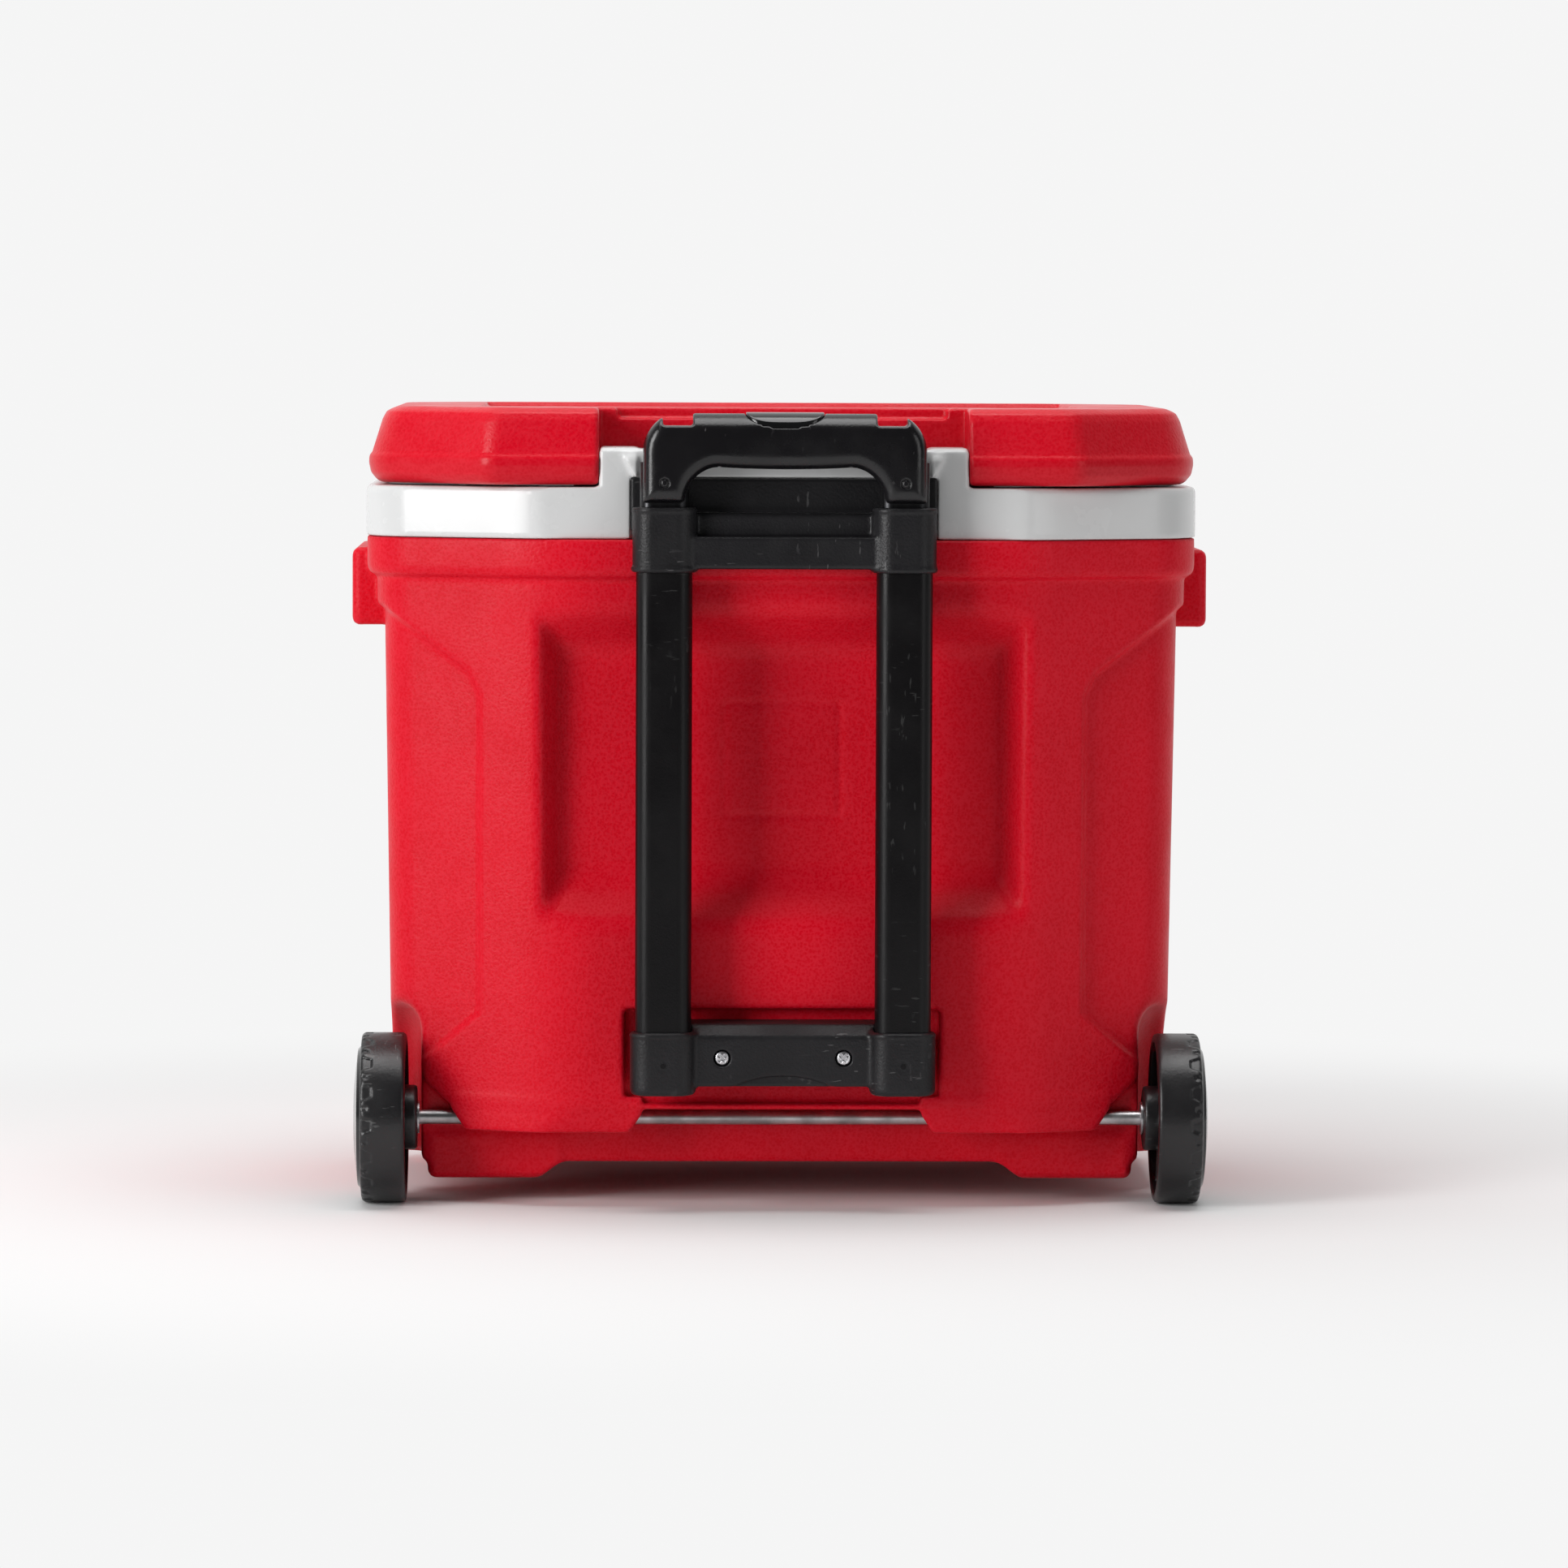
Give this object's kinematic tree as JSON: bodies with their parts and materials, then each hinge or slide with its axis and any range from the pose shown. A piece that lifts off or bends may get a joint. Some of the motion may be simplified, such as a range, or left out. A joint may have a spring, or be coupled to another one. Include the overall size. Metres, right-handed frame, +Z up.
{
  "type": "wheeled cooler",
  "caption": "Hard-sided insulated cooler on wheels with a hinged lid, side grab handles and a telescoping pull handle with a push-button lock at the rear.",
  "frame": {"origin": "centre of the whole cooler's footprint, on the ground", "axes": "+Z up; the handle, hinge and wheels are at +Y; the cooler is symmetric about X = 0"},
  "size_m": [0.482, 0.37, 0.4434],
  "materials": {
    "red_shell": "satin",
    "white_liner": "gloss",
    "black_plastic": "satin",
    "black_gloss": "gloss",
    "black_tube": "satin",
    "wheel_black": "satin",
    "steel": "satin",
    "foam": "matte"
  },
  "bodies": {
    "cooler": {"body_shell": "red_shell", "body_foam": "foam", "liner": "white_liner", "hinge_pins": "white_liner", "axle": "steel", "axle_washers": "steel", "axle_push_nuts": "steel", "upper_bracket": "black_plastic", "lower_bracket": "black_plastic", "upper_bracket_screws": "steel", "lower_bracket_screws": "steel", "lower_bracket_pins": "black_plastic", "outer_tube_left": "black_tube", "outer_tube_right": "black_tube", "tube_end_plugs": "black_plastic"},
    "lid": {"lid_shell": "red_shell", "lid_foam": "foam", "lid_liner": "white_liner"},
    "left_wheel": {"wheel_left": "wheel_black", "wheel_cover_left": "wheel_black"},
    "right_wheel": {"wheel_right": "wheel_black", "wheel_cover_right": "wheel_black"},
    "handle": {"inner_tube_left": "steel", "inner_tube_right": "steel", "inner_foot_left": "black_plastic", "inner_foot_right": "black_plastic", "grip_rear_shell": "black_plastic", "grip_front_shell": "black_plastic", "grip_pins": "black_plastic", "grip_screws": "steel", "button_spring": "steel", "lock_springs": "steel"},
    "button": {"release_button": "black_gloss", "release_yoke": "black_plastic", "push_rod_left": "steel", "push_rod_right": "steel"},
    "left_lock": {"lock_pin_left": "steel"},
    "right_lock": {"lock_pin_right": "steel"}
  },
  "joints": [
    {"name": "lid_hinge", "type": "hinge", "parent": "cooler", "child": "lid", "pos_m": [0, 0.146, 0.4133], "axis": [-1, 0, 0], "range_deg": [0, 72]},
    {"name": "handle_slide", "type": "slide", "parent": "cooler", "child": "handle", "axis": [0, 0, 1], "range_m": [0, 0.245]},
    {"name": "button_press", "type": "slide", "parent": "handle", "child": "button", "axis": [0, 0, -1], "range_m": [0, 0.005], "stiffness_N_per_m": 450, "springref_m": -0.006, "deforming": ["button_spring"]},
    {"name": "left_lock_slide", "type": "slide", "parent": "handle", "child": "left_lock", "axis": [0, 1, 0], "range_m": [0, 0.003], "deforming": ["lock_springs"]},
    {"name": "right_lock_slide", "type": "slide", "parent": "handle", "child": "right_lock", "axis": [0, 1, 0], "range_m": [0, 0.003], "deforming": ["lock_springs"]},
    {"name": "left_wheel_spin", "type": "hinge", "parent": "cooler", "child": "left_wheel", "pos_m": [0.2209, 0.117, 0.0475], "axis": [1, 0, 0], "continuous": true},
    {"name": "right_wheel_spin", "type": "hinge", "parent": "cooler", "child": "right_wheel", "pos_m": [-0.2209, 0.117, 0.0475], "axis": [1, 0, 0], "continuous": true}
  ],
  "couplings": [
    {"joint": "left_lock_slide", "follows": "button_press", "ratio": 0.6},
    {"joint": "right_lock_slide", "follows": "button_press", "ratio": 0.6}
  ]
}
